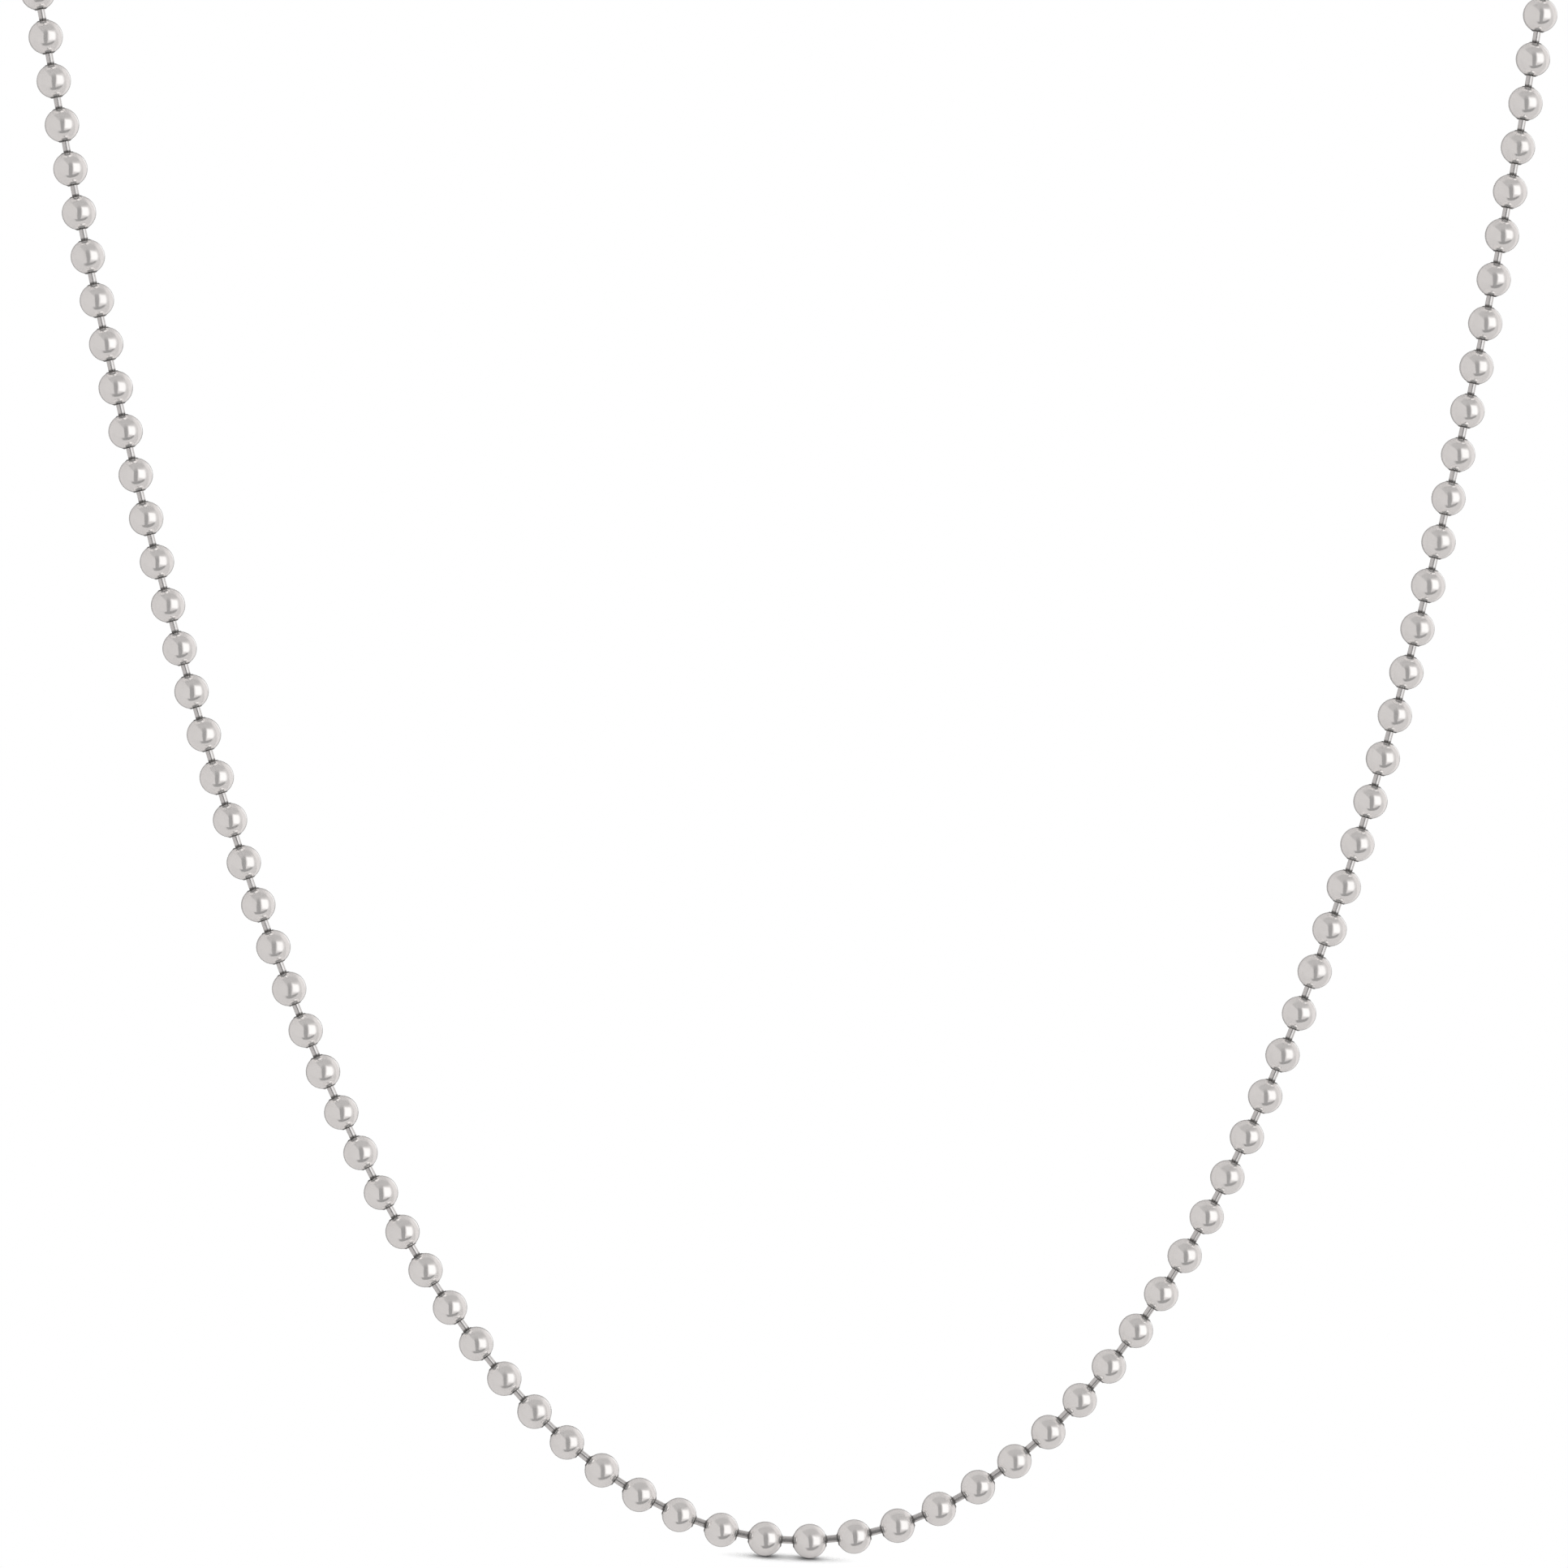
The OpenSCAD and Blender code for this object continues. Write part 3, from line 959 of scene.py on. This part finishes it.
# %% Directions and soft edges in the world
# Keeps a slant from being divided by nothing
NEARLY_ZERO = 0.001
world = bpy.data.worlds.new("tent")
bpy.context.scene.world = world
world.use_nodes = True
sky = world.node_tree
sky.nodes.clear()
all_ways = sky.nodes.new("ShaderNodeTexCoord").outputs["Generated"]
way = add(sky, "ShaderNodeSeparateXYZ", {0: all_ways}).outputs
turn = calc(sky, "ARCTAN2", way["X"], calc(sky, "MULTIPLY", way["Y"], -1))
lift = calc(sky, "ARCSINE", way["Z"])
ahead = calc(sky, "MAXIMUM", calc(sky, "ABSOLUTE", way["Y"]), NEARLY_ZERO)
slant = calc(sky, "DIVIDE", way["Z"], ahead)


def edge(value, start, end):
    """A soft edge: 0 before start, 1 after end."""
    return fade(sky, value, start, end, "SMOOTHSTEP")


def angle_edge(value, start, end):
    """A soft edge of a turn or a lift, between two angles in degrees."""
    return edge(value, math.radians(start), math.radians(end))


def plane_edge(facing, start, end):
    """A soft edge along a slanting plane that faces some way."""
    return edge(vector_calc(sky, "DOT_PRODUCT", all_ways, facing, "Value"), start, end)


def overlap(*masks):
    """Where all of several masks show."""
    together = masks[0]
    for mask in masks[1:]:
        together = calc(sky, "MULTIPLY", together, mask)
    return together


def angle_band(value, low, high, softness):
    """1 between two angles in degrees, with soft edges on the outside."""
    return overlap(
        angle_edge(value, low - softness, low), angle_edge(value, high + softness, high)
    )


# A warm grey has a little less green and blue than red
GREEN_SHARE, BLUE_SHARE = 0.967, 0.958


def warm_grey(tone):
    """The tent's cloth and cards are all one slightly warm grey, lighter or darker."""
    return (tone, GREEN_SHARE * tone, BLUE_SHARE * tone, 1.0)


# %% [markdown]
# Each piece of the studio is laid over the ones before it. A piece is a colour and the soft
# edges that bound it. A turn is how far a direction swings from the camera towards the right,
# a lift is how far it rises, both in degrees, and a slant is its rise over its reach to the
# front or back, so it is below zero towards the table. The first number of an edge is where the
# piece starts to show, and the second is where it shows in full. A lamp and cards of real faces
# would do as well, but edges as soft as these need no faces and cost no time.

# %% Lay the pieces of the studio over each other
EMPTY_SPACE = warm_grey(0.36)
BACK_WALL = warm_grey(0.50)
SIDE_WALL = warm_grey(0.60)
SIDE_WING = warm_grey(0.74)
CAMERA_GAP = warm_grey(0.12)
TABLE = warm_grey(0.53)
TABLE_FRONT = warm_grey(0.08)
LEFT_CARD = warm_grey(0.56)
BACK_OPENING = warm_grey(0.27)
BACK_LAMP = (1.0, 1.0, 1.0, 1.0)
SOFTBOX_CLOTH = (1.15, 1.15, 1.15, 1.0)

# The softbox's top edge sinks from 40 to 26 degrees as it swings from 16 to 95 degrees
softbox_top = add(
    sky, "ShaderNodeMapRange",
    {"Value": turn, "From Min": math.radians(16), "From Max": math.radians(95),
     "To Min": math.radians(40), "To Max": math.radians(26)},
).outputs[0]
STUDIO = (
    (BACK_WALL, plane_edge((-0.2, 1.0, -0.05), -0.12, 0.16)),
    (SIDE_WALL, overlap(
        angle_edge(turn, 14, 24), angle_edge(turn, 178, 130), angle_edge(lift, 52, 30)
    )),
    (SIDE_WING, overlap(
        angle_edge(turn, 96, 103), angle_edge(turn, 172, 140), angle_edge(lift, 60, 40)
    )),
    (CAMERA_GAP, overlap(angle_band(turn, -9, 16, 4), angle_edge(lift, 60, 15))),
    (TABLE, edge(slant, -0.9, -1.1)),
    (TABLE_FRONT, overlap(
        angle_band(turn, -20, 60, 25), edge(slant, -2.25, -1.95), edge(slant, -0.8, -1.1)
    )),
    (LEFT_CARD, overlap(
        plane_edge((0.72, 0.07, 0.60), 0.05, -0.01), angle_edge(turn, -6, -11),
        edge(slant, -1.12, -1.0)
    )),
    (BACK_OPENING, plane_edge((-0.15, 0.98, 0.0), 0.74, 0.94)),
    (BACK_LAMP, overlap(angle_band(turn, 146, 156, 9), angle_band(lift, 8, 24, 9))),
    (SOFTBOX_CLOTH, overlap(
        angle_edge(turn, 20, 31), angle_edge(turn, 84, 64), angle_edge(lift, -29, -13),
        angle_edge(calc(sky, "SUBTRACT", lift, softbox_top), 6, -9)
    )),
)
tent = EMPTY_SPACE
for colour, mask in STUDIO:
    tent = mixed(sky, mask, tent, colour)
print("pieces of the studio:", len(STUDIO))

# %% [markdown]
# Reflections alone see the studio. The paper, and the small dull share of the steel, are lit
# by an even dome with a broad soft light overhead and a glow from the table below. Cycles would
# also treat the world as a lamp, but then it can't tell one kind of ray from another, so that
# is switched off.

# %% Show the tent to the steel alone
WHITE = (1.0, 1.0, 1.0, 1.0)
DOME_LIGHT = 1.25
OVERHEAD_LIGHT = 1.5
OVERHEAD_FOCUS = 4.0
TABLE_GLOW = 0.6
overhead = calc(sky, "POWER", calc(sky, "MAXIMUM", way["Z"], 0.0), OVERHEAD_FOCUS)
from_above = calc(sky, "MULTIPLY_ADD", overhead, OVERHEAD_LIGHT, DOME_LIGHT)
from_below = calc(sky, "MULTIPLY", calc(sky, "LESS_THAN", way["Z"], 0.0), TABLE_GLOW)
soft_light = calc(sky, "ADD", from_above, from_below)
seen_in_steel = add(sky, "ShaderNodeBackground", {"Color": tent})
seen_by_camera = add(sky, "ShaderNodeBackground", {"Color": WHITE})
seen_by_paper = add(sky, "ShaderNodeBackground", {"Color": WHITE, "Strength": soft_light})
ray = sky.nodes.new("ShaderNodeLightPath").outputs
paper_or_steel = add(
    sky, "ShaderNodeMixShader",
    {0: ray["Is Diffuse Ray"], 1: seen_in_steel.outputs[0], 2: seen_by_paper.outputs[0]},
)
choice = add(
    sky, "ShaderNodeMixShader",
    {0: ray["Is Camera Ray"], 1: paper_or_steel.outputs[0], 2: seen_by_camera.outputs[0]},
)
world_out = sky.nodes.new("ShaderNodeOutputWorld")
sky.links.new(choice.outputs[0], world_out.inputs["Surface"])
world.cycles.sampling_method = "NONE"
print(f"{world.name}: {len(sky.nodes)} nodes")

# %% [markdown]
# ## Plain tones
# The standard view keeps white paper white and shows each tone as the camera recorded it. Light
# that bounces off polished steel would brighten the thin shadow under the lowest balls, so it
# is left out.

# %% View and bounces
scene = bpy.context.scene
scene.view_settings.view_transform = "Standard"
scene.cycles.caustics_reflective = False
scene.cycles.caustics_refractive = False
print("view:", scene.view_settings.view_transform)
